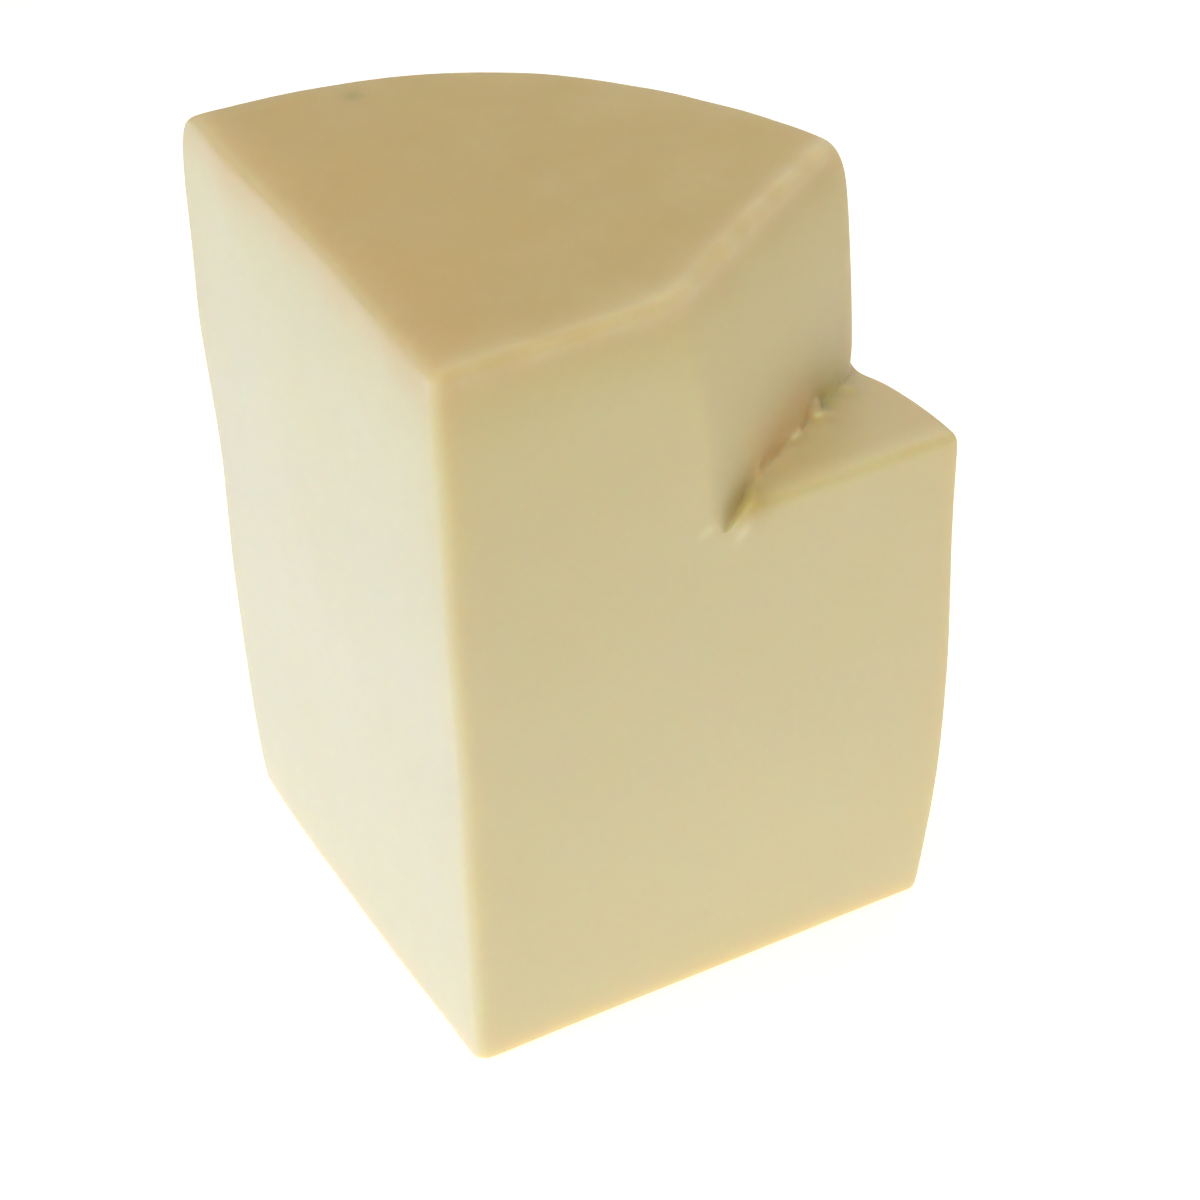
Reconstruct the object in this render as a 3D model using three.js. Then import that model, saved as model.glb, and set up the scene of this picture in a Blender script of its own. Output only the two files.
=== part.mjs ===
// Cheese wedge: an upright quarter of a tall drum of pale hard cheese. A smaller piece has been cut out
// of its upper right corner, which leaves an upright wall and a level shelf, with torn cheese in the
// corner between them.
//
// Frame: millimetres, +Z up. The wedge stands on its base at Z = 0, its tip points to -Y and its rind
// faces +Y. The origin is in the middle of the base's bounding box.
//
// The wedge is laid out about the drum's axis first, with the right cut face along +X and the left one
// along +Y. It is a stack of level outlines, each a ring of points that runs from the tip along the right
// face, round the rind and back along the left face. Below the shelf a ring goes out to the drum's
// corner, and above it a ring follows the wall.

import * as THREE from 'three';
import { mergeVertices } from 'three/addons/utils/BufferGeometryUtils.js';

const { degToRad, lerp, smoothstep, seededRandom } = THREE.MathUtils;

// The drum
const HEIGHT = 250;
const DRUM_RADIUS = 164.2;
const UPPER_SWELL = 2.1; // the drum is this much fuller in its upper part
const UPPER_SWELL_FROM = 110;
const UPPER_SWELL_TO = 200;
const FOOT_TAPER = 10; // its side draws in by this much at the base,
const FOOT_HEIGHT = 95; // from this height down
const SHOULDER_DEPTH = 14.5; // the rounded upper rim, across the top
const SHOULDER_HEIGHT = 19; // and down the side

// The rind bulges between these heights, more and more from the first of these angles to the second
const BULGE = 4.3;
const BULGE_FROM = [125, 180];
const BULGE_TO = [212, 245];
const BULGE_ANGLES = [25, 75].map(degToRad);
const BULGE_DEPTH = [130, 160]; // it fades in between these distances from the axis

// The left face bows out at its foot
const BOW = 2;
const BOW_HEIGHT = 60;
const BOW_DEPTH = 25;

// Edges and corners that the knife left, softened
const TOP_EDGE = 4;
const BASE_EDGE = 1.8;
const TIP_CORNER = 4.5;
const RIND_CORNER = 3.2;
const SHELF_EDGE = 3.8;
const EDGE_START = [0.1, 0.27]; // the shares of the outer stretch over which the shelf's edge sets in
const EDGE_END = [0.88, 1]; // and fades out

// The notch
const SHELF_HEIGHT = 171;
const NOTCH_START_TOP = 72.5; // from the drum's axis to the wall, along the right face, at the top
const NOTCH_START_SHELF = 82.3; // and at the shelf
const WALL_CURVE = 2.2; // over 1, the wall leans back more and more towards the top
const WALL_ANGLE = degToRad(31.3); // from the right face to the wall, seen from above
const WALL_CORNER = 9; // soft corner between the right face and the wall,
const WALL_CORNER_RISE = 5; // sharp at the shelf and softer over this height
const WALL_END_CORNER = 7; // soft corner between the wall and the rind

// Torn cheese along the foot of the wall: a hollow curve that fills the corner, with crumbs
const FILLET = 3.2; // 0.7 of its reach, so that it runs smoothly from the wall into the shelf
const FILLET_REACH = 4.5;
const CRUMB_REACH = 9;
const CRUMB_RELIEF = 0.6;
const CRUMB_WAVE = 7;
const TORN_START = [0, 12]; // along the wall from the right face, where the torn band sets in
const TORN_END = [72, 88]; // and where it ends

// Single lumps and, with a height below 0, pits: where each is along the wall and out from its foot, and
// over what distances it eases off
const LUMPS = [
  { along: 35.5, out: 0.8, long: 6, wide: 3.4, height: -2.7 },
  { along: 47.5, out: 1.8, long: 2.5, wide: 2.5, height: 1.1 },
  { along: 53, out: 0.8, long: 3, wide: 3, height: -2 },
  { along: 58.7, out: 2.4, long: 2.6, wide: 2.6, height: 1.6 },
  { along: 65, out: 0.6, long: 3.4, wide: 3.2, height: -2.6 },
  { along: 73, out: 2.5, long: 3, wide: 2.5, height: 0.8 },
  { along: 92, out: 3, long: 7, wide: 5, height: -3.6 },
];

// Where the knife came in, at the right face, the wall's foot turns out along that face
const FOOT_TURN = 5;
const FOOT_TURN_WIDTH = 8; // the turn eases off over this much level,
const FOOT_TURN_RISE = 3.5; // and over this much up and down

// The knife also went deeper than the shelf there
const OVERCUT_DEPTH = 5.6;
const OVERCUT_START = 87.5; // its deepest place, from the drum's axis,
const OVERCUT_SLANT = 0.8; // and how fast that moves outwards, further in from the right face
const OVERCUT_WIDTH = 4.8; // the cut eases off over this much to either side,
const OVERCUT_REACH = 13; // in from the right face,
const OVERCUT_RISE = 16; // and up and down

// Gentle unevenness of the whole piece
const UNEVEN_WAVE = 85;
const UNEVEN_RELIEF = 0.4;
const FLAT_FOOT = 30; // it fades out below this height, so that the base stays flat
const WAVES = 5; // sine waves in each random field

// Steps round a ring, and rings up the wedge
const RIGHT_STEPS = 10;
const WALL_STEPS = 40;
const WALL_CORNER_STEPS = 3;
const CORNER_STEPS = 4;
const OUTER_FACE_STEPS = 26; // the right face beyond the notch,
const OUTER_FACE_POWER = 1.3; // closer together near it
const RIND_STEPS = 22;
const LEFT_STEPS = 16;
const EDGE_STEPS = 3;
const LOWER_LEVELS = 13;
const UPPER_LEVELS = 5;
const SHOULDER_LEVELS = 4;
const SHOULDER_STEP = degToRad(13);
const SHELF_ROWS = 13;
const SHELF_POWER = 1.5; // over 1, its rows are closer together at the wall
const WALL_FOOT_LEVELS = [0, 1.5, 3.5, 6, 9.5, 14]; // above the shelf
const TOP_ROWS = 5;

// How far a surface draws in at a distance from the end of an edge that is rounded to a radius.
function drawnIn(distance, radius) {
  const left = Math.max(0, radius - distance);
  return radius - Math.sqrt(radius * radius - left * left);
}

function faceInset(z) {
  return drawnIn(z, BASE_EDGE) + drawnIn(HEIGHT - z, TOP_EDGE);
}

function drumRadius(z) {
  const foot = Math.max(0, 1 - z / FOOT_HEIGHT);
  const shoulder = Math.max(0, (z - HEIGHT + SHOULDER_HEIGHT) / SHOULDER_HEIGHT);
  const side = DRUM_RADIUS + UPPER_SWELL * smoothstep(z, UPPER_SWELL_FROM, UPPER_SWELL_TO);
  const rim = SHOULDER_DEPTH * (1 - Math.sqrt(1 - shoulder * shoulder));
  return side - rim - FOOT_TAPER * foot * foot - drawnIn(z, BASE_EDGE);
}

function notchStart(z) {
  const share = Math.max(0, z - SHELF_HEIGHT) / (HEIGHT - SHELF_HEIGHT);
  return lerp(NOTCH_START_SHELF, NOTCH_START_TOP, share ** WALL_CURVE);
}

// Points along a stretch of outline, without its last one, which the next stretch starts with. With a
// power over 1 a line's points are closer together at its start.
function line(from, to, steps, power = 1) {
  return Array.from({ length: steps }, (_, i) => from.clone().lerp(to, (i / steps) ** power));
}

function arc(centre, radius, start, end, steps) {
  return new THREE.ArcCurve(centre.x, centre.y, radius, start, end).getPoints(steps).slice(0, -1);
}

const AXIS = new THREE.Vector2(0, 0);
const WALL_RUN = new THREE.Vector2(Math.cos(WALL_ANGLE), Math.sin(WALL_ANGLE));
const WALL_INWARD = new THREE.Vector2(-WALL_RUN.y, WALL_RUN.x);

// The point at a radius from the drum's axis that is straight ahead of another point.
function straightAhead(from, direction, radius) {
  const ahead = from.dot(direction);
  const reach = Math.sqrt(ahead ** 2 - from.lengthSq() + radius ** 2) - ahead;
  return from.clone().addScaledVector(direction, reach);
}

// The radius of the corner between the right face and the wall.
function wallCorner(z) {
  const up = Math.max(0, z - SHELF_HEIGHT);
  return WALL_CORNER * (1 - Math.exp(-up / WALL_CORNER_RISE));
}

// Where the wall is at a height: the centres of the arcs at its two ends, for faces that are drawn in by
// an inset.
function wallEnds(z, inset, radius) {
  const start = new THREE.Vector2(notchStart(z), 0);
  const corner = wallCorner(z);
  const frontInset = inset + corner;
  const front = start.clone().addScaledVector(WALL_INWARD, frontInset);
  front.addScaledVector(WALL_RUN, (frontInset * (1 - WALL_INWARD.y)) / WALL_RUN.y);
  const beside = start.addScaledVector(WALL_INWARD, inset + WALL_END_CORNER);
  const back = straightAhead(beside, WALL_RUN, radius - WALL_END_CORNER);
  return { front, back, corner, rindAngle: back.angle() };
}

// The stretch from the inner part of the right face to the rind: along the wall, or out round the drum's
// corner.
function wallStretch({ front, back, corner, rindAngle }) {
  const outward = WALL_ANGLE - Math.PI / 2;
  return [
    ...arc(front, corner, -Math.PI / 2, outward, WALL_CORNER_STEPS),
    ...line(
      front.clone().addScaledVector(WALL_INWARD, -corner),
      back.clone().addScaledVector(WALL_INWARD, -WALL_END_CORNER),
      WALL_STEPS,
    ),
    ...arc(back, WALL_END_CORNER, outward, rindAngle, CORNER_STEPS),
  ];
}

// In place of the wall's corner the outer stretch has the same point over and over.
function outerStretch({ front, rindAngle }, inset, radius) {
  const run = new THREE.Vector2(1, 0);
  const corner = straightAhead(new THREE.Vector2(0, inset + RIND_CORNER), run, radius - RIND_CORNER);
  const faceStart = new THREE.Vector2(front.x, inset);
  const faceEnd = new THREE.Vector2(corner.x, inset);
  return [
    ...line(faceStart, faceStart, WALL_CORNER_STEPS),
    ...line(faceStart, faceEnd, OUTER_FACE_STEPS, OUTER_FACE_POWER),
    ...arc(corner, RIND_CORNER, -Math.PI / 2, corner.angle(), CORNER_STEPS),
    ...arc(AXIS, radius, corner.angle(), rindAngle, WALL_STEPS - OUTER_FACE_STEPS),
  ];
}

// The shelf's rounded edge sets in past the overcut and fades out towards the wall's far end.
function edgeShare(share) {
  return smoothstep(share, ...EDGE_START) * (1 - smoothstep(share, ...EDGE_END));
}

// The whole outline at a height, as a ring of points. shelfInset draws in the outer stretch alone, for
// the shelf's edge.
function ring(z, notched, shelfInset = 0) {
  const inset = faceInset(z);
  const radius = drumRadius(z);
  const ends = wallEnds(z, inset, radius);
  const tip = inset + TIP_CORNER;
  const run = new THREE.Vector2(0, 1);
  const left = straightAhead(new THREE.Vector2(inset + RIND_CORNER, 0), run, radius - RIND_CORNER);

  let notch = notched ? wallStretch(ends) : outerStretch(ends, inset, radius);
  if (shelfInset > 0) {
    const drawn = outerStretch(ends, inset + shelfInset, radius - shelfInset);
    notch = notch.map((point, i) => point.lerp(drawn[i], edgeShare(i / notch.length)));
  }
  const points = [
    ...line(new THREE.Vector2(tip, inset), new THREE.Vector2(ends.front.x, inset), RIGHT_STEPS),
    ...notch,
    ...arc(AXIS, radius, ends.rindAngle, left.angle(), RIND_STEPS),
    ...arc(left, RIND_CORNER, left.angle(), Math.PI, CORNER_STEPS),
    ...line(new THREE.Vector2(inset, left.y), new THREE.Vector2(inset, tip), LEFT_STEPS),
    ...arc(new THREE.Vector2(tip, tip), TIP_CORNER, Math.PI, 1.5 * Math.PI, CORNER_STEPS),
  ];
  return points.map((point) => new THREE.Vector3(point.x, point.y, z));
}

// A smooth random field: sine waves of about one wavelength, in directions drawn from a seed.
function waveField(seed, wavelength) {
  const waves = [];
  for (let i = 0; i < WAVES; i += 1) {
    const draw = (k) => seededRandom(seed + 10 * i + k);
    const direction = new THREE.Vector3(draw(1) - 0.5, draw(2) - 0.5, draw(3) - 0.5).normalize();
    const rate = (2 * Math.PI) / (wavelength * lerp(0.7, 1.5, draw(4)));
    waves.push({ direction, rate, phase: 2 * Math.PI * draw(5) });
  }
  const height = (wave, p) => Math.sin(wave.direction.dot(p) * wave.rate + wave.phase);
  return (p) => waves.reduce((sum, wave) => sum + height(wave, p), 0) / Math.sqrt(WAVES);
}

const unevenX = waveField(6100, UNEVEN_WAVE);
const unevenY = waveField(6200, UNEVEN_WAVE);
const unevenZ = waveField(6300, UNEVEN_WAVE);
const crumbs = waveField(400, CRUMB_WAVE);

function bell(x) {
  return Math.exp(-x * x);
}

// Moves a point near the foot of the wall: out of the corner for the torn cheese, and down for the
// overcut.
const OUT_OF_CORNER = new THREE.Vector3(-WALL_INWARD.x, -WALL_INWARD.y, 1).normalize();

function torn(p) {
  const fromStart = new THREE.Vector2(p.x - NOTCH_START_SHELF, p.y);
  const along = fromStart.dot(WALL_RUN);
  const out = -fromStart.dot(WALL_INWARD);
  const up = p.z - SHELF_HEIGHT;
  const away = Math.hypot(out, up);
  let push = FILLET * Math.exp(-away / FILLET_REACH);
  push += CRUMB_RELIEF * crumbs(p) * bell(away / CRUMB_REACH);
  push *= smoothstep(along, ...TORN_START) * (1 - smoothstep(along, ...TORN_END));
  for (const lump of LUMPS) {
    const across = Math.hypot(out - lump.out, up);
    push += lump.height * bell((along - lump.along) / lump.long) * bell(across / lump.wide);
  }
  const moved = p.clone().addScaledVector(OUT_OF_CORNER, push);
  const turn = bell((p.x - NOTCH_START_SHELF) / FOOT_TURN_WIDTH) * Math.exp(-p.y / FOOT_TURN_WIDTH);
  moved.x += FOOT_TURN * turn * Math.exp(-Math.abs(up) / FOOT_TURN_RISE);
  const beside = moved.x - OVERCUT_START - OVERCUT_SLANT * p.y;
  const cut = bell(beside / OVERCUT_WIDTH) * Math.exp(-p.y / OVERCUT_REACH);
  moved.z -= OVERCUT_DEPTH * cut * Math.exp(-Math.abs(up) / OVERCUT_RISE);
  return moved;
}

// The rind's bulge, the left face's bow and the random unevenness. Nothing moves up or down at Z = 0.
function uneven(p) {
  const angle = Math.atan2(p.y, p.x);
  const reach = Math.hypot(p.x, p.y);
  const height = smoothstep(p.z, ...BULGE_FROM) * (1 - smoothstep(p.z, ...BULGE_TO));
  const bulge = BULGE * height * smoothstep(angle, ...BULGE_ANGLES) * smoothstep(reach, ...BULGE_DEPTH);
  const middle = Math.sin((Math.PI * reach) / DRUM_RADIUS);
  const bow = BOW * lerp(0.4, 1, middle) * bell(p.z / BOW_HEIGHT) * Math.exp(-p.x / BOW_DEPTH);
  return new THREE.Vector3(
    p.x + UNEVEN_RELIEF * unevenX(p) + bulge * Math.cos(angle) - bow,
    p.y + UNEVEN_RELIEF * unevenY(p) + bulge * Math.sin(angle),
    p.z + UNEVEN_RELIEF * unevenZ(p) * smoothstep(p.z, 0, FLAT_FOOT),
  );
}

// Heights and insets through the rounding of an edge, from where it starts to the level it ends at.
function edgeLevels(end, radius, side) {
  return Array.from({ length: EDGE_STEPS + 1 }, (_, i) => {
    const angle = (i / EDGE_STEPS) * (Math.PI / 2);
    return { z: end - side * radius * (1 - Math.sin(angle)), inset: radius * (1 - Math.cos(angle)) };
  });
}

function evenLevels(from, to, count) {
  return Array.from({ length: count }, (_, i) => lerp(from, to, (i + 1) / (count + 1)));
}

function shoulderLevels() {
  const rise = (i) => SHOULDER_HEIGHT * (Math.sin(SHOULDER_STEP * i) - 1);
  return Array.from({ length: SHOULDER_LEVELS }, (_, i) => HEIGHT + rise(i));
}

function lowerRings() {
  const base = edgeLevels(0, BASE_EDGE, -1).reverse();
  const shelfEdge = edgeLevels(SHELF_HEIGHT, SHELF_EDGE, 1);
  return [
    ...base.map((level) => ring(level.z, false)),
    ...evenLevels(BASE_EDGE, SHELF_HEIGHT - SHELF_EDGE, LOWER_LEVELS).map((z) => ring(z, false)),
    ...shelfEdge.map((level) => ring(level.z, false, level.inset)),
  ];
}

function upperRings() {
  const foot = WALL_FOOT_LEVELS.map((up) => SHELF_HEIGHT + up);
  const levels = [
    ...foot,
    ...evenLevels(foot.at(-1), HEIGHT - SHOULDER_HEIGHT, UPPER_LEVELS),
    ...shoulderLevels(),
    ...edgeLevels(HEIGHT, TOP_EDGE, 1).map((level) => level.z),
  ];
  return levels.map((z) => ring(z, true));
}

// Quads between two rows of points, split in two. A closed row joins its last point to its first.
function skin(lower, upper, closed, triangles) {
  const count = lower.length;
  for (let i = 0; i < (closed ? count : count - 1); i += 1) {
    const j = (i + 1) % count;
    triangles.push(lower[i], lower[j], upper[j], lower[i], upper[j], upper[i]);
  }
}

function stack(rings, triangles) {
  for (let i = 1; i < rings.length; i += 1) skin(rings[i - 1], rings[i], true, triangles);
}

// The shelf lies between the outer stretch below it and the wall's foot.
function shelf(outer, wall, triangles) {
  const first = RIGHT_STEPS;
  const last = first + WALL_CORNER_STEPS + WALL_STEPS + CORNER_STEPS;
  let row = outer.slice(first, last + 1);
  for (let i = 1; i <= SHELF_ROWS; i += 1) {
    const share = 1 - (1 - i / SHELF_ROWS) ** SHELF_POWER;
    const next = wall.slice(first, last + 1).map((point, k) => outer[first + k].clone().lerp(point, share));
    skin(row, next, false, triangles);
    row = next;
  }
}

// A level face closed towards its middle, in rows that let it undulate.
function closing(edge, rows, triangles) {
  const middle = edge.reduce((sum, point) => sum.add(point), new THREE.Vector3()).divideScalar(edge.length);
  let row = edge;
  for (let i = 1; i < rows; i += 1) {
    const next = edge.map((point) => point.clone().lerp(middle, i / rows));
    skin(row, next, true, triangles);
    row = next;
  }
  row.forEach((point, i) => triangles.push(point, row[(i + 1) % row.length], middle));
}

// The shelf's rows meet in a point at each end, so some of its triangles have two corners in one place.
function withoutSlivers(index) {
  const kept = [];
  for (let i = 0; i < index.length; i += 3) {
    const [a, b, c] = index.slice(i, i + 3);
    if (a !== b && b !== c && c !== a) kept.push(a, b, c);
  }
  return kept;
}

function wedgeGeometry() {
  const lower = lowerRings();
  const upper = upperRings();
  const base = [];
  closing(lower[0], 1, base);
  const triangles = base.reverse();
  stack(lower, triangles);
  shelf(lower.at(-1), upper[0], triangles);
  stack(upper, triangles);
  closing(upper.at(-1), TOP_ROWS, triangles);

  const positions = triangles.flatMap((point) => uneven(torn(point)).toArray());
  const loose = new THREE.BufferGeometry();
  loose.setAttribute('position', new THREE.Float32BufferAttribute(positions, 3));
  const geometry = mergeVertices(loose, 1e-3);
  geometry.setIndex(withoutSlivers(geometry.index.array));
  return geometry;
}

const geometry = wedgeGeometry();
geometry.rotateZ(degToRad(45));
geometry.computeBoundingBox();
const middle = geometry.boundingBox.getCenter(new THREE.Vector3());
geometry.translate(-middle.x, -middle.y, -geometry.boundingBox.min.z);
geometry.computeVertexNormals();

const cheese = new THREE.MeshStandardMaterial({ color: 0xdccb9b, roughness: 0.55, metalness: 0 });
const wedge = new THREE.Mesh(geometry, cheese);
wedge.name = 'cheese_wedge';

const part = new THREE.Group();
part.add(wedge);

export default part;
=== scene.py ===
"""An upright quarter of a tall drum of pale hard cheese, on a bright table, seen from above."""

import math

import bmesh
import bpy
import numpy as np
from mathutils import Matrix, Vector, noise


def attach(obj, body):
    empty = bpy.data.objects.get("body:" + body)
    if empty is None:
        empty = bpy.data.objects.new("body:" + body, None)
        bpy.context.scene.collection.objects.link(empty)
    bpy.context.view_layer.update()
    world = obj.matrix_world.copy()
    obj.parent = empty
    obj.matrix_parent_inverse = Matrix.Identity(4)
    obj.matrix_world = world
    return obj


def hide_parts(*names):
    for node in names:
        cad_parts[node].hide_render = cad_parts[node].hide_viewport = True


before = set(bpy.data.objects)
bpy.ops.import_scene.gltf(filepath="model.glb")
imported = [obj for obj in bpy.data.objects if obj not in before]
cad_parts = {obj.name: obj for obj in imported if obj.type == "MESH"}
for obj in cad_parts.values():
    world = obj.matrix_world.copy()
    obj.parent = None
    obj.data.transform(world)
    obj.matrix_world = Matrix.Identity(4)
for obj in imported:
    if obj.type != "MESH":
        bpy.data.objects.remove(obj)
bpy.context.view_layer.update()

MM = 0.001

# The cheese in the row frame, in metres.
AXIS = np.array([1.62, -84.71]) * MM        # the drum's axis, where the wedge's tip is
TOP = 250.7 * MM
SHELF = 171 * MM                            # height of the notch's floor
WALL_FOOT = np.array([59.81, -26.51]) * MM  # where the notch's wall leaves the right cut face
WALL_TURN = math.radians(76.3)              # direction of the wall's foot, from +X

# Directions at the foot of the notch's wall: along it, out from it and up.
ALONG = np.array([math.cos(WALL_TURN), math.sin(WALL_TURN), 0])
OUT = np.array([ALONG[1], -ALONG[0], 0])
UP = np.array([0, 0, 1])
OUT_OF_CORNER = (OUT + UP) / math.sqrt(2)

# The copy of the CAD mesh: vertices this close become one, and triangles within these angles of each
# other become quads, before it is subdivided.
WELD_DISTANCE = 0.01 * MM
QUAD_FACE_ANGLE, QUAD_SHAPE_ANGLE = math.radians(40), math.radians(60)
SUBDIVISIONS = 2

# The fine relief: depths, and the wavelengths and seeds of their noise.
SEED_SHIFT = np.array([3.17, 1.73, 2.39])   # how far each seed shifts the noise
CUT_RELIEF, CUT_WAVE, CUT_SEED = 0.10 * MM, 22 * MM, 11
RIND_RELIEF, RIND_WAVE, RIND_SEED = 0.28 * MM, 16 * MM, 23
RIND_SINK = 0.5                             # share of its relief that the rind lies lower
RIM_RELIEF, RIM_WAVE, RIM_SEED = 0.35 * MM, 9 * MM, 40
RIM_SWELL, RIM_LUMPS = 0.4, 1.5             # the even and the lumpy share of the lip's relief
FLAT_BASE = 2 * MM                          # height over which the relief starts

# The torn foot of the notch's wall.
CRUMB_DEPTH, CRUMB_REACH, CRUMB_SEED = 0.35 * MM, 8 * MM, 31
CRUMB_WAVES = ((9.0 * MM, 1.0), (4.2 * MM, 0.4), (1.9 * MM, 0.15))    # wavelength, share of the depth
CRUMB_GAP = 2.6                             # how deep the gaps are, against the lumps
TORN_START = (-4 * MM, 6 * MM)              # distances along the foot where the crumbs begin
TORN_END = (74 * MM, 92 * MM)               # and where they end
TEAR_DEPTH = 0.6 * MM
TEAR_REACH = 20 * MM                        # how far from the foot the tears fade
# A curled tear round one of the crumbs: its middle along and across the foot, its radius and width,
# and the direction that it is open to, with the angle over which it fades there.
CURL = (60.5 * MM, 0.3 * MM, 4.8 * MM, 1.7 * MM)
CURL_OPEN, CURL_GAP = math.radians(97), math.radians(45)
# Single crumbs: along and across the foot, reach and height.
LUMPS = np.array([
    (57.4, 1.7, 1.6, 0.6),
    (44.5, 1.0, 1.6, 0.4),
    (-0.4, 2.2, 1.8, 0.5),
    (8.9, 13.0, 2.2, 0.6)]) * MM

# Where the rind is. Each pair is where its share starts and where it is full.
SIDE_TURN = (0.88, 0.97)                    # how squarely the side faces away from the drum's axis
SIDE_FROM_AXIS = (100 * MM, 130 * MM)
SIDE_BAND = 12 * MM                         # height of the bands that the drum's radius is taken in
END_TURN = (0.4, 0.8)                       # how level the drum's ends are
TOP_SKIN = (TOP - 30 * MM, TOP - 25 * MM)
RIND_AND_SHADE_REACH = 9 * MM                         # how far down the top's darker colour fades, as painted shade on the faces below the top
RIND_AND_SHADE_WANDER, WANDER_WAVE, WANDER_SEED = 4 * MM, 20 * MM, 51           # how unevenly it fades
SCATTER_LIGHT_REACH = 24 * MM                        # how far in from the left face the top gets a warmer band of painted light
SMUDGE = np.array([-65.9, 46.6]) * MM       # a dull spot on the top
SMUDGE_REACH = 3 * MM

# Painted shade on the edges between outer faces: darker and yellower there, standing in for light
# scattered in the cheese.
EDGE_SHADE_REACH = 6 * MM
EDGE_SHADE_LOW = 0.25                              # how strong the painted edge shade is at the foot, against the top

# The top's edge over the wall and the right face: a slightly raised lip with a painted highlight along
# it.
WALL_LEAN = 5.1 * MM                        # how far back the notch's wall is at the top
RIM_DROP = 3.0 * MM                         # how far below the top the lip's middle is
RIM_REACH = 4.5 * MM
RIM_ON_FACE = 0.7                           # over the right face, as a share of that over the wall
RIM_BEND = (50 * MM, 72 * MM)               # distances from the front edge over which it grows
RIM_TINT, RIM_PATCHES, RIM_MOST = 0.95, 0.45, 1.2     # the painted highlight's even, patchy and largest share

# The colours in the notch: painted shade on its floor, painted light on the wall's torn foot and painted
# shade, dark gold, in its corner.
SHELF_TURN = (0.3, 0.9)                     # how level the notch's floor is
SHELF_REACH = 12 * MM                       # how far its colour fades, also in from the right face
SHELF_EDGE = 4 * MM                         # how far outside the right face its colour starts
CREASE_LIGHT_RISE = 4 * MM                           # height above the notch's floor
CREASE_LIGHT_REACH, CREASE_LIGHT_THICKNESS = 12 * MM, 5 * MM  # up the wall, and out from it
CREASE_LIGHT_START = (12 * MM, 28 * MM)
CREASE_LIGHT_END = (52 * MM, 68 * MM)
CORNER_SHADE_PLACE = np.array([15, 4.5, -1]) * MM        # along, out from and above the foot of the notch's wall
CORNER_SHADE_REACH = np.array([8, 6, 5]) * MM

# The camera: turns in degrees, lens and sensor in millimetres.
CAMERA_PLACE = (0.3028, -0.8635, 0.8312)
CAMERA_YAW, CAMERA_TILT, CAMERA_ROLL = 18.273, 38.207, -2.576
CAMERA_LENS = 117.3
SENSOR = 36

# The stage.
STAGE_RADIUS = 6
FLOOR_DROP = 0.1 * MM                       # how far the floor keeps clear of the cheese
GLOW_REACH = (0.3, 1.0)                     # distances between which the floor's glow fades
GLOW_STRENGTH = (0.75, 0.32)
FLOOR_ROUGHNESS, FLOOR_SPECULAR = 0.9, 0.1
WORLD_RISE = (0, 0.6)                       # from the horizon up, where the surround gets dimmer
WORLD_STRENGTH = (0.09, 0.05)

# The lights: squares that look at a point this high above the floor.
LIGHT_AIM = 0.12
LIGHT_DISTANCE = 1.8
LIGHT_SIZE = 1.2
# Name, azimuth from +X and elevation in degrees, power in watts and colour.
LIGHTS = (
    ("left", 225, 14, 13.3, (0.72, 0.82, 1.0)),
    ("far_left", 200, 14, 5.1, (0.31, 0.33, 1.0)),
    ("high_right", 320, 65, 8.9, (1.0, 0.96, 0.56)),
    ("above", 270, 85, 8.9, (1.0, 0.99, 0.76)),
    ("right", 345, 15, 1.4, (1.0, 0.1, 0.0)),
    ("behind", 90, 40, 10.3, (0.71, 0.70, 1.0)))

# The cheese's material. Noise scales are in waves per metre, roughly.
PASTE_RISE = 3                              # the power of the height that the paste's colour follows
NOISE_RANGE = (0.3, 0.7)                    # where nearly all of a noise's values lie
CLOUD_SCALE, CLOUD_SHARE = 22, 0.15
BLOTCH_SCALE, BLOTCH_SHARE = 45, 0.35
BLOTCH_RANGE = (0.35, 0.7)
GRAIN_SCALE = 900
STREAK_SCALE = 420
STREAK_STRETCH = (1, 1, 0.04)               # makes them 25 times as long upwards
STREAK_HEIGHT = 0.7                         # against that of the grain
BUMP_STRENGTH, BUMP_DEPTH = 0.35, 0.12 * MM
ROUGHNESS_SCALE = 90
ROUGHNESS = (0.46, 0.60)
RIND_ROUGHNESS = 0.12                       # how much rougher the rind is
CHEESE_IOR = 1.45
SCATTER_SCALE = 10 * MM                     # how deep light goes
SCATTER_RADIUS = (1.0, 0.6, 0.3)            # the share of that for red, green and blue

# Linear colours.
PASTE_LOW = (0.78, 0.74, 0.532)
PASTE_HIGH = (0.78, 0.725, 0.428)
# painted shade on the notch's level floor
SHELF_SHADE = (0.664, 0.562, 0.334)
# painted shade on the edges
EDGE_SHADE = (0.75, 0.67, 0.405)
# the top's darker tan: partly the rind, partly painted shade
RIND_AND_SHADE = (0.652, 0.502, 0.230)
# painted light: the top's warmer band beside the lit left face
TOP_SCATTER_LIGHT = (0.71, 0.475, 0.196)
RIND_SIDE = (0.68, 0.55, 0.30)
BLOTCH = (0.60, 0.45, 0.21)
SMUDGE_GREY = (0.44, 0.38, 0.18)
# painted highlight along the top's edge
RIM_HIGHLIGHT = (0.83, 0.755, 0.55)
# painted light on the torn foot of the notch's wall, lifting the crease's shade
CREASE_LIGHT = (0.92, 0.72, 0.45)
# painted shade in the notch's corner
CORNER_SHADE = (0.62, 0.51, 0.23)
# painted highlight on the raised crumbs
CRUMB_HIGHLIGHT = (0.90, 0.85, 0.66)
FLOOR = (0.85, 0.85, 0.85)
GLOW = (1, 0.94, 0.79)
BACKDROP = (0.376, 0.356, 0.305)            # as the far floor looks
WORLD = (1, 1, 1)

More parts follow.
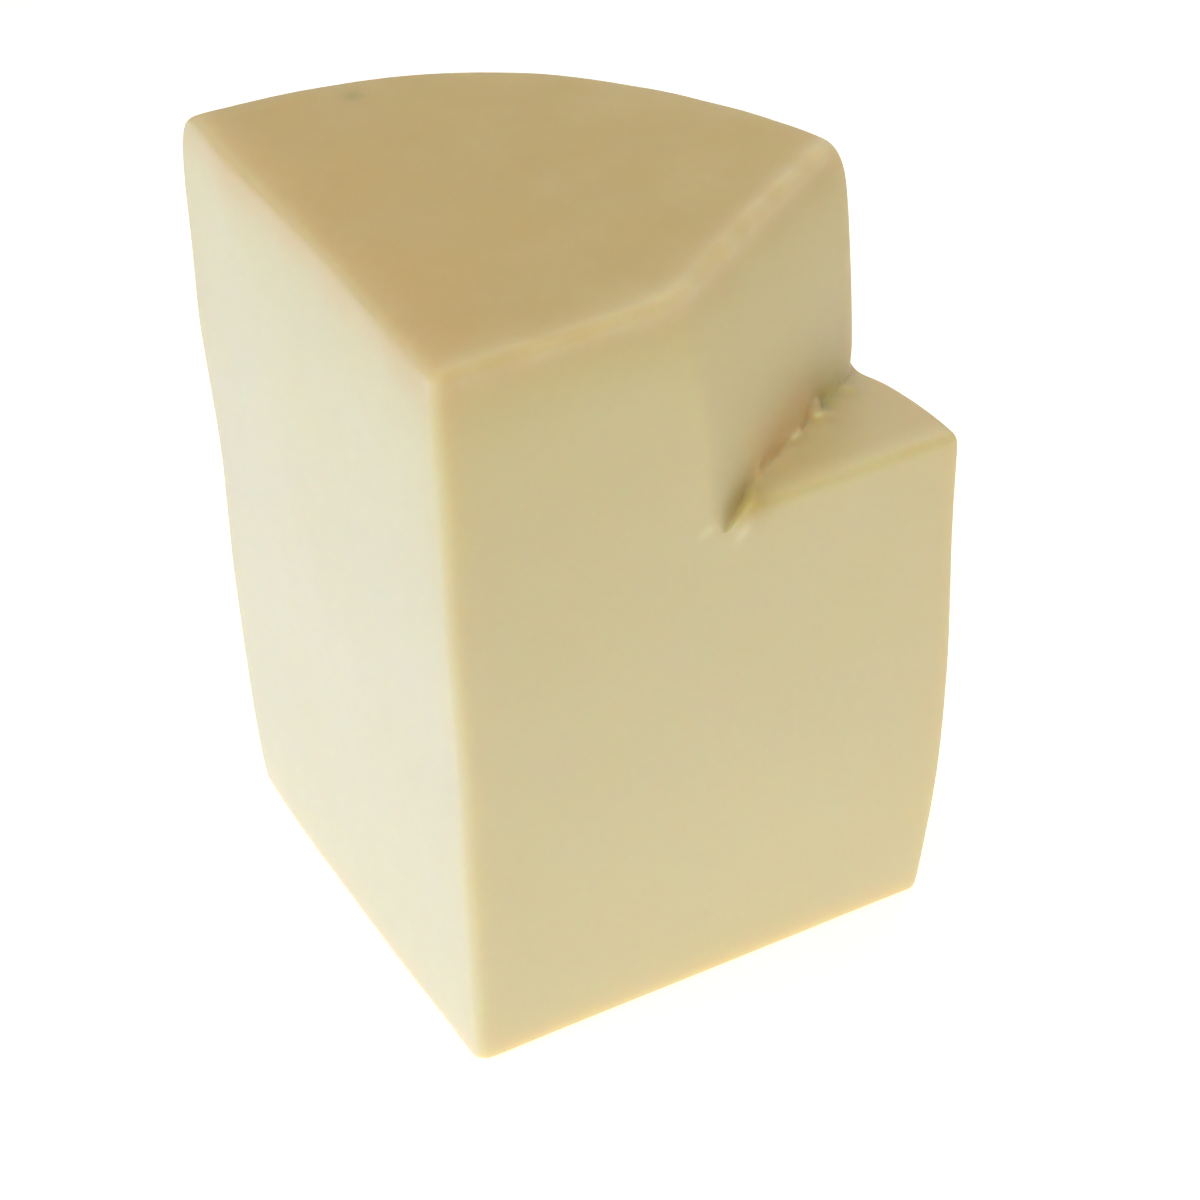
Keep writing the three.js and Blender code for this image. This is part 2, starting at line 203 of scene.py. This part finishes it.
# How much of a colour shows where its share is full.
EDGE_SHADE_SHOWS = 0.9
SMUDGE_SHOWS = 0.7
RIM_HIGHLIGHT_SHOWS = 0.8
CREASE_LIGHT_SHOWS = 0.75
CORNER_SHADE_SHOWS = 0.85


def smoothstep(low, high, x):
    """0 up to low, 1 from high on, and smooth between them."""
    t = np.clip((x - low) / (high - low), 0, 1)
    return t * t * (3 - 2 * t)


def bell(x):
    """1 at 0, falling off on both sides."""
    return np.exp(-x * x)


def point_noise(points, wavelength, seed):
    """Smooth noise from about -1 to 1 at each point."""
    shift = Vector(SEED_SHIFT * seed)
    return np.array([noise.noise(Vector(p) / wavelength + shift) for p in points])


def crumbs(points, seed):
    """Torn cheese: rounded lumps with sharp gaps between them."""
    height = np.zeros(len(points))
    for step, (wavelength, share) in enumerate(CRUMB_WAVES):
        value = point_noise(points, wavelength, seed + step)
        height += share * (1 - CRUMB_GAP * np.abs(value))
    return height


def smooth_copy(node, name):
    """A new object with the CAD node's mesh, paired into quads and subdivided."""
    shape = bmesh.new()
    shape.from_mesh(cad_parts[node].data)
    bmesh.ops.remove_doubles(shape, verts=shape.verts, dist=WELD_DISTANCE)
    bmesh.ops.join_triangles(
        shape, faces=shape.faces, angle_face_threshold=QUAD_FACE_ANGLE,
        angle_shape_threshold=QUAD_SHAPE_ANGLE)
    mesh = bpy.data.meshes.new(name)
    shape.to_mesh(mesh)
    shape.free()
    piece = bpy.data.objects.new(name, mesh)
    bpy.context.scene.collection.objects.link(piece)
    modifier = piece.modifiers.new("Smooth", "SUBSURF")
    modifier.levels = modifier.render_levels = SUBDIVISIONS
    evaluated = piece.evaluated_get(bpy.context.evaluated_depsgraph_get())
    piece.data = bpy.data.meshes.new_from_object(evaluated)
    piece.modifiers.clear()
    return piece


def points_of(mesh):
    values = np.zeros(len(mesh.vertices) * 3)
    mesh.vertices.foreach_get("co", values)
    return values.reshape(-1, 3)


def normals_of(mesh):
    values = np.zeros(len(mesh.vertices) * 3)
    mesh.vertex_normals.foreach_get("vector", values)
    return values.reshape(-1, 3)


def side_depth(points):
    """How far each point lies inside the drum's round side."""
    from_axis = np.hypot(*(points[:, :2] - AXIS).T)
    level = (points[:, 2] / SIDE_BAND).astype(int)
    widest = np.zeros(level.max() + 1)
    np.maximum.at(widest, level, from_axis)
    middles = (np.arange(len(widest)) + 0.5) * SIDE_BAND
    return np.interp(points[:, 2], middles, widest) - from_axis


def face_distances(points):
    """How far each point lies inside the right and the left cut face."""
    from_tip = points[:, :2] - AXIS
    right = (from_tip[:, 1] - from_tip[:, 0]) / math.sqrt(2)
    left = (from_tip[:, 1] + from_tip[:, 0]) / math.sqrt(2)
    return right, left


def corner_place(points):
    """Where each point is along the foot of the notch's wall, out from it and above it."""
    from_foot = points - np.array([*WALL_FOOT, SHELF])
    return from_foot @ ALONG, from_foot @ OUT, from_foot @ UP


def edge_shade_share(points):
    """Painted shade: 1 on the edges between two outer faces, falling off over a few millimetres; less
    lower down.
    """
    faces = np.stack([*face_distances(points), TOP - points[:, 2], side_depth(points)])
    second = np.partition(np.abs(faces), 1, axis=0)[1]
    return np.exp(-second / EDGE_SHADE_REACH) * (EDGE_SHADE_LOW + (1 - EDGE_SHADE_LOW) * (points[:, 2] / TOP) ** 2)


def skin_share(points, normals):
    """1 on the rind, which is the drum's round side and both its ends, and 0 on the cut faces."""
    from_axis = points[:, :2] - AXIS
    radial = (normals[:, :2] * from_axis).sum(1) / np.hypot(*from_axis.T)
    side = smoothstep(*SIDE_TURN, radial) * smoothstep(*SIDE_FROM_AXIS, np.hypot(*from_axis.T))
    top = smoothstep(*END_TURN, normals[:, 2]) * smoothstep(*TOP_SKIN, points[:, 2])
    bottom = smoothstep(*END_TURN, -normals[:, 2])
    return np.maximum.reduce([side, top, bottom])


def rind_and_shade_share(points):
    """1 on the top, fading unevenly down the other faces: the top's darker colour, partly the rind's tan
    and partly painted shade, and painted shade alone down the faces.
    """
    below = TOP - points[:, 2] + RIND_AND_SHADE_WANDER * point_noise(points, WANDER_WAVE, WANDER_SEED)
    return np.exp(-np.clip(below, 0, None) / RIND_AND_SHADE_REACH)


def smudge_share(points):
    """1 at the dull spot on the top."""
    off = np.column_stack([points[:, :2] - SMUDGE, points[:, 2] - TOP])
    return bell(np.linalg.norm(off, axis=1) / SMUDGE_REACH)


def lip_and_highlight_share(points):
    """1 on the top's edge over the wall and, less so, over the right face: a slightly raised lip, with a
    painted highlight along it.
    """
    right, left = face_distances(points)
    _, out, _ = corner_place(points)
    beside = np.minimum(np.abs(right), np.abs(out + WALL_LEAN))
    edge = bell(np.hypot(beside, TOP - RIM_DROP - points[:, 2]) / RIM_REACH)
    return edge * (RIM_ON_FACE + (1 - RIM_ON_FACE) * smoothstep(*RIM_BEND, left))


def torn_share(points):
    """1 along the foot of the notch's wall, where the piece was broken off, and 0 away from it."""
    along, out, up = corner_place(points)
    ends = smoothstep(*TORN_START, along) * (1 - smoothstep(*TORN_END, along))
    return bell(np.hypot(out, up) / CRUMB_REACH) * ends


def tears(points):
    """The height of single torn crumbs and of the tear that curls round one of them."""
    along, out, up = corner_place(points)
    across = out - up
    height = np.zeros(len(points))
    for lump_along, lump_across, reach, size in LUMPS:
        height += size * bell(np.hypot(along - lump_along, across - lump_across) / reach)
    curl_along, curl_across, radius, width = CURL
    turn = np.arctan2(across - curl_across, along - curl_along)
    off = np.hypot(along - curl_along, across - curl_across) - radius
    off_gap = np.mod(turn - CURL_OPEN + math.pi, 2 * math.pi) - math.pi
    height -= TEAR_DEPTH * bell(off / width) * (1 - bell(off_gap / CURL_GAP))
    return height * bell(np.hypot(out, up) / TEAR_REACH)


def crease_light_share(points):
    """1 on the torn foot of the notch's wall, a little above its floor: painted light, lifting the shade
    in the crease.
    """
    along, out, up = corner_place(points)
    near = bell(np.hypot(out / CREASE_LIGHT_THICKNESS, (up - CREASE_LIGHT_RISE) / CREASE_LIGHT_REACH))
    return near * smoothstep(*CREASE_LIGHT_START, along) * (1 - smoothstep(*CREASE_LIGHT_END, along))


def corner_shade_share(points):
    """1 at the painted shade, dark gold, in the corner where the notch meets the right face."""
    off = (np.stack(corner_place(points), 1) - CORNER_SHADE_PLACE) / CORNER_SHADE_REACH
    return bell(np.linalg.norm(off, axis=1))


def shelf_shade_share(points, normals):
    """Painted shade: 1 on the notch's level floor, fading towards the right face, and 0 elsewhere."""
    level = bell((points[:, 2] - SHELF) / SHELF_REACH)
    inside = smoothstep(-SHELF_EDGE, SHELF_REACH, face_distances(points)[0])
    return level * inside * smoothstep(*SHELF_TURN, normals[:, 2])


def store(mesh, name, values):
    attribute = mesh.attributes.new(name, "FLOAT", "POINT")
    attribute.data.foreach_set("value", values.astype(np.float32))


def shape_cheese(mesh):
    """Adds the fine relief and stores where each colour lies."""
    points, normals = points_of(mesh), normals_of(mesh)
    skin, torn, lip_and_highlight = skin_share(points, normals), torn_share(points), lip_and_highlight_share(points)
    lumpy = point_noise(points, RIM_WAVE, RIM_SEED)
    relief = CUT_RELIEF * (1 - skin) * point_noise(points, CUT_WAVE, CUT_SEED)
    relief += RIND_RELIEF * skin * (point_noise(points, RIND_WAVE, RIND_SEED) - RIND_SINK)
    relief += RIM_RELIEF * lip_and_highlight * (RIM_SWELL + RIM_LUMPS * lumpy)
    relief *= (1 - torn) * smoothstep(0, FLAT_BASE, points[:, 2])
    torn_relief = CRUMB_DEPTH * torn * crumbs(points, CRUMB_SEED) + tears(points)
    moved = points + normals * relief[:, None] + OUT_OF_CORNER * torn_relief[:, None]
    mesh.vertices.foreach_set("co", moved.ravel())
    mesh.polygons.foreach_set("use_smooth", [True] * len(mesh.polygons))
    mesh.update()
    # The top's darker tan: partly the rind and partly painted shade, and painted shade alone where it
    # fades down the faces.
    store(mesh, "rind", rind_and_shade_share(points))
    store(mesh, "smudge", smudge_share(points))
    # Painted light: a warmer band on the top beside the lit left face.
    store(mesh, "scatter_light", np.exp(-np.abs(face_distances(points)[1]) / SCATTER_LIGHT_REACH))
    store(mesh, "skin", skin)
    # Painted highlight along the top's edge.
    store(mesh, "lip_and_highlight", lip_and_highlight * np.clip(RIM_TINT + RIM_PATCHES * lumpy, 0, RIM_MOST))
    # Painted shade on the edges between outer faces.
    store(mesh, "edge_shade", edge_shade_share(points))
    # Painted shade on the notch's level floor.
    store(mesh, "shelf_shade", shelf_shade_share(points, normals))
    # Painted light on the torn foot of the notch's wall.
    store(mesh, "crease_light", crease_light_share(points))
    # Painted shade, dark gold, in the notch's corner.
    store(mesh, "corner_shade", corner_shade_share(points))
    # Painted highlight on the raised crumbs.
    store(mesh, "crumb_highlight", np.clip(tears(points) / TEAR_DEPTH, 0, 1))


def make_cheese():
    piece = smooth_copy("cheese_wedge", "cheese")
    shape_cheese(piece.data)
    piece.data.materials.clear()
    piece.data.materials.append(cheese_material())
    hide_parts("cheese_wedge")
    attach(piece, "root")


def add_node(tree, kind, inputs=None, **settings):
    """A shader node, with its inputs given as values or as the sockets that feed them."""
    made = tree.nodes.new(kind)
    for name, value in settings.items():
        setattr(made, name, value)
    for key, value in (inputs or {}).items():
        if isinstance(value, bpy.types.NodeSocket):
            tree.links.new(value, made.inputs[key])
        else:
            made.inputs[key].default_value = value
    return made


def math_node(tree, operation, a, b):
    return add_node(tree, "ShaderNodeMath", {0: a, 1: b}, operation=operation).outputs[0]


def mix_colour(tree, share, a, b):
    return add_node(
        tree, "ShaderNodeMix", {0: share, 6: a, 7: b}, data_type="RGBA").outputs[2]


def noise_value(tree, place, scale, detail, roughness=0.5):
    made = add_node(
        tree, "ShaderNodeTexNoise",
        {"Vector": place, "Scale": scale, "Detail": detail, "Roughness": roughness})
    return made.outputs["Fac"]


def remap(tree, value, low, high, to_low, to_high, **settings):
    made = add_node(
        tree, "ShaderNodeMapRange",
        {"Value": value, "From Min": low, "From Max": high, "To Min": to_low, "To Max": to_high},
        **settings)
    return made.outputs["Result"]


def opaque(colour):
    return (*colour, 1)


def new_material(name):
    material = bpy.data.materials.new(name)
    material.use_nodes = True
    tree = material.node_tree
    return material, tree, tree.nodes["Principled BSDF"]


def share_of(tree, name, factor=1.0):
    """The share that the mesh stores under a name, times a factor."""
    made = add_node(tree, "ShaderNodeAttribute", attribute_name=name)
    return math_node(tree, "MULTIPLY", made.outputs["Fac"], factor)


def cheese_colour(tree, place):
    height = add_node(tree, "ShaderNodeSeparateXYZ", {0: place}).outputs["Z"]
    height = math_node(tree, "POWER", remap(tree, height, 0, TOP, 0, 1), PASTE_RISE)
    clouds = noise_value(tree, place, CLOUD_SCALE, detail=3)
    cloudy = remap(tree, clouds, *NOISE_RANGE, -CLOUD_SHARE, CLOUD_SHARE)
    colour = mix_colour(
        tree, math_node(tree, "ADD", height, cloudy), opaque(PASTE_LOW), opaque(PASTE_HIGH))
    # Painted shade: the notch's level floor darker and yellower.
    colour = mix_colour(tree, share_of(tree, "shelf_shade"), colour, opaque(SHELF_SHADE))
    colour = mix_colour(tree, share_of(tree, "skin"), colour, opaque(RIND_SIDE))
    # Painted light: the top warmer beside the lit left face.
    rind = mix_colour(tree, share_of(tree, "scatter_light"), opaque(RIND_AND_SHADE), opaque(TOP_SCATTER_LIGHT))
    # The top's darker tan: partly the rind and partly painted shade, and painted shade alone down the
    # faces.
    colour = mix_colour(tree, share_of(tree, "rind"), colour, rind)
    # Painted shade: darker, yellower edges.
    colour = mix_colour(tree, share_of(tree, "edge_shade", EDGE_SHADE_SHOWS), colour, opaque(EDGE_SHADE))
    blotches = noise_value(tree, place, BLOTCH_SCALE, detail=4, roughness=0.6)
    blotchy = remap(tree, blotches, *BLOTCH_RANGE, 0, BLOTCH_SHARE)
    blotchy = math_node(tree, "MULTIPLY", blotchy, share_of(tree, "skin"))
    colour = mix_colour(tree, blotchy, colour, opaque(BLOTCH))
    colour = mix_colour(tree, share_of(tree, "smudge", SMUDGE_SHOWS), colour, opaque(SMUDGE_GREY))
    # Painted highlight: a pale band along the top's edge.
    colour = mix_colour(tree, share_of(tree, "lip_and_highlight", RIM_HIGHLIGHT_SHOWS), colour, opaque(RIM_HIGHLIGHT))
    # Painted light: the crease at the wall's foot made paler.
    colour = mix_colour(tree, share_of(tree, "crease_light", CREASE_LIGHT_SHOWS), colour, opaque(CREASE_LIGHT))
    # Painted shade in the notch's corner.
    colour = mix_colour(tree, share_of(tree, "corner_shade", CORNER_SHADE_SHOWS), colour, opaque(CORNER_SHADE))
    # Painted highlight on the raised crumbs.
    return mix_colour(tree, share_of(tree, "crumb_highlight"), colour, opaque(CRUMB_HIGHLIGHT))


def cheese_bump(tree, place):
    """Fine grain all over, and faint upright streaks from the knife on the cut faces."""
    grain = noise_value(tree, place, GRAIN_SCALE, detail=4, roughness=0.65)
    drawn = add_node(
        tree, "ShaderNodeVectorMath", {0: place, 1: STREAK_STRETCH}, operation="MULTIPLY")
    streaks = noise_value(tree, drawn.outputs[0], STREAK_SCALE, detail=3, roughness=0.6)
    cut = math_node(tree, "SUBTRACT", STREAK_HEIGHT, share_of(tree, "skin", STREAK_HEIGHT))
    streaks = math_node(tree, "MULTIPLY", streaks, cut)
    height = math_node(tree, "ADD", grain, streaks)
    bump = add_node(
        tree, "ShaderNodeBump",
        {"Strength": BUMP_STRENGTH, "Distance": BUMP_DEPTH, "Height": height})
    return bump.outputs["Normal"]


def cheese_material():
    material, tree, shader = new_material("cheese")
    place = add_node(tree, "ShaderNodeTexCoord").outputs["Object"]
    tree.links.new(cheese_colour(tree, place), shader.inputs["Base Color"])
    tree.links.new(cheese_bump(tree, place), shader.inputs["Normal"])
    rough = noise_value(tree, place, ROUGHNESS_SCALE, detail=3)
    rough = remap(tree, rough, *NOISE_RANGE, *ROUGHNESS)
    rough = math_node(tree, "ADD", rough, share_of(tree, "skin", RIND_ROUGHNESS))
    tree.links.new(rough, shader.inputs["Roughness"])
    shader.inputs["Subsurface Weight"].default_value = 1
    shader.inputs["Subsurface Radius"].default_value = SCATTER_RADIUS
    shader.inputs["Subsurface Scale"].default_value = SCATTER_SCALE
    shader.inputs["IOR"].default_value = CHEESE_IOR
    return material


def make_floor():
    """A round table of pale, faintly glowing sheet."""
    bpy.ops.mesh.primitive_circle_add(
        vertices=128, radius=STAGE_RADIUS, fill_type="NGON", location=(0, 0, -FLOOR_DROP))
    floor = bpy.context.object
    floor.name = "floor"
    material, tree, shader = new_material("floor")
    place = add_node(tree, "ShaderNodeTexCoord").outputs["Object"]
    distance = add_node(
        tree, "ShaderNodeVectorMath", {0: place}, operation="LENGTH").outputs["Value"]
    glow = remap(tree, distance, *GLOW_REACH, *GLOW_STRENGTH, interpolation_type="SMOOTHSTEP")
    shader.inputs["Base Color"].default_value = opaque(FLOOR)
    shader.inputs["Roughness"].default_value = FLOOR_ROUGHNESS
    shader.inputs["Specular IOR Level"].default_value = FLOOR_SPECULAR
    shader.inputs["Emission Color"].default_value = opaque(GLOW)
    tree.links.new(glow, shader.inputs["Emission Strength"])
    floor.data.materials.append(material)


def make_backdrop():
    """A pale surround that the camera alone sees, so that it lights nothing."""
    bpy.ops.mesh.primitive_uv_sphere_add(segments=64, ring_count=32, radius=STAGE_RADIUS)
    backdrop = bpy.context.object
    backdrop.name = "backdrop"
    material, _, shader = new_material("backdrop")
    shader.inputs["Base Color"].default_value = opaque((0, 0, 0))
    shader.inputs["Specular IOR Level"].default_value = 0
    shader.inputs["Emission Color"].default_value = opaque(BACKDROP)
    shader.inputs["Emission Strength"].default_value = 1
    backdrop.data.materials.append(material)
    backdrop.visible_diffuse = backdrop.visible_glossy = False
    backdrop.visible_transmission = backdrop.visible_shadow = False


def add_light(name, azimuth, elevation, power, colour):
    """A soft square light that looks at the middle of the cheese and that the camera doesn't see."""
    turn, rise = math.radians(azimuth), math.radians(elevation)
    away = Vector(
        (math.cos(turn) * math.cos(rise), math.sin(turn) * math.cos(rise), math.sin(rise)))
    data = bpy.data.lights.new(name, "AREA")
    data.size = LIGHT_SIZE
    data.energy = power
    data.color = colour
    light = bpy.data.objects.new(name, data)
    light.location = Vector((0, 0, LIGHT_AIM)) + away * LIGHT_DISTANCE
    light.rotation_euler = away.to_track_quat("Z", "Y").to_euler()
    light.visible_camera = False
    bpy.context.scene.collection.objects.link(light)


def light_scene():
    for light in LIGHTS:
        add_light(*light)


def make_world():
    """A dim white surround, a little dimmer overhead."""
    world = bpy.data.worlds.new("studio")
    bpy.context.scene.world = world
    world.use_nodes = True
    tree = world.node_tree
    place = add_node(tree, "ShaderNodeTexCoord").outputs["Generated"]
    up = add_node(tree, "ShaderNodeSeparateXYZ", {0: place}).outputs["Z"]
    strength = remap(tree, up, *WORLD_RISE, *WORLD_STRENGTH, interpolation_type="SMOOTHSTEP")
    background = tree.nodes["Background"]
    background.inputs["Color"].default_value = opaque(WORLD)
    tree.links.new(strength, background.inputs["Strength"])


def place_camera():
    data = bpy.data.cameras.new("camera")
    data.lens = CAMERA_LENS
    data.sensor_width = SENSOR
    data.sensor_fit = "HORIZONTAL"
    camera = bpy.data.objects.new("camera", data)
    turns = (
        Matrix.Rotation(math.radians(CAMERA_YAW), 4, "Z")
        @ Matrix.Rotation(math.radians(90 - CAMERA_TILT), 4, "X")
        @ Matrix.Rotation(math.radians(CAMERA_ROLL), 4, "Z"))
    camera.matrix_world = Matrix.Translation(CAMERA_PLACE) @ turns
    bpy.context.scene.collection.objects.link(camera)
    bpy.context.scene.camera = camera


bpy.context.scene.view_settings.view_transform = "Standard"
place_camera()
make_cheese()
make_floor()
make_backdrop()
light_scene()
make_world()
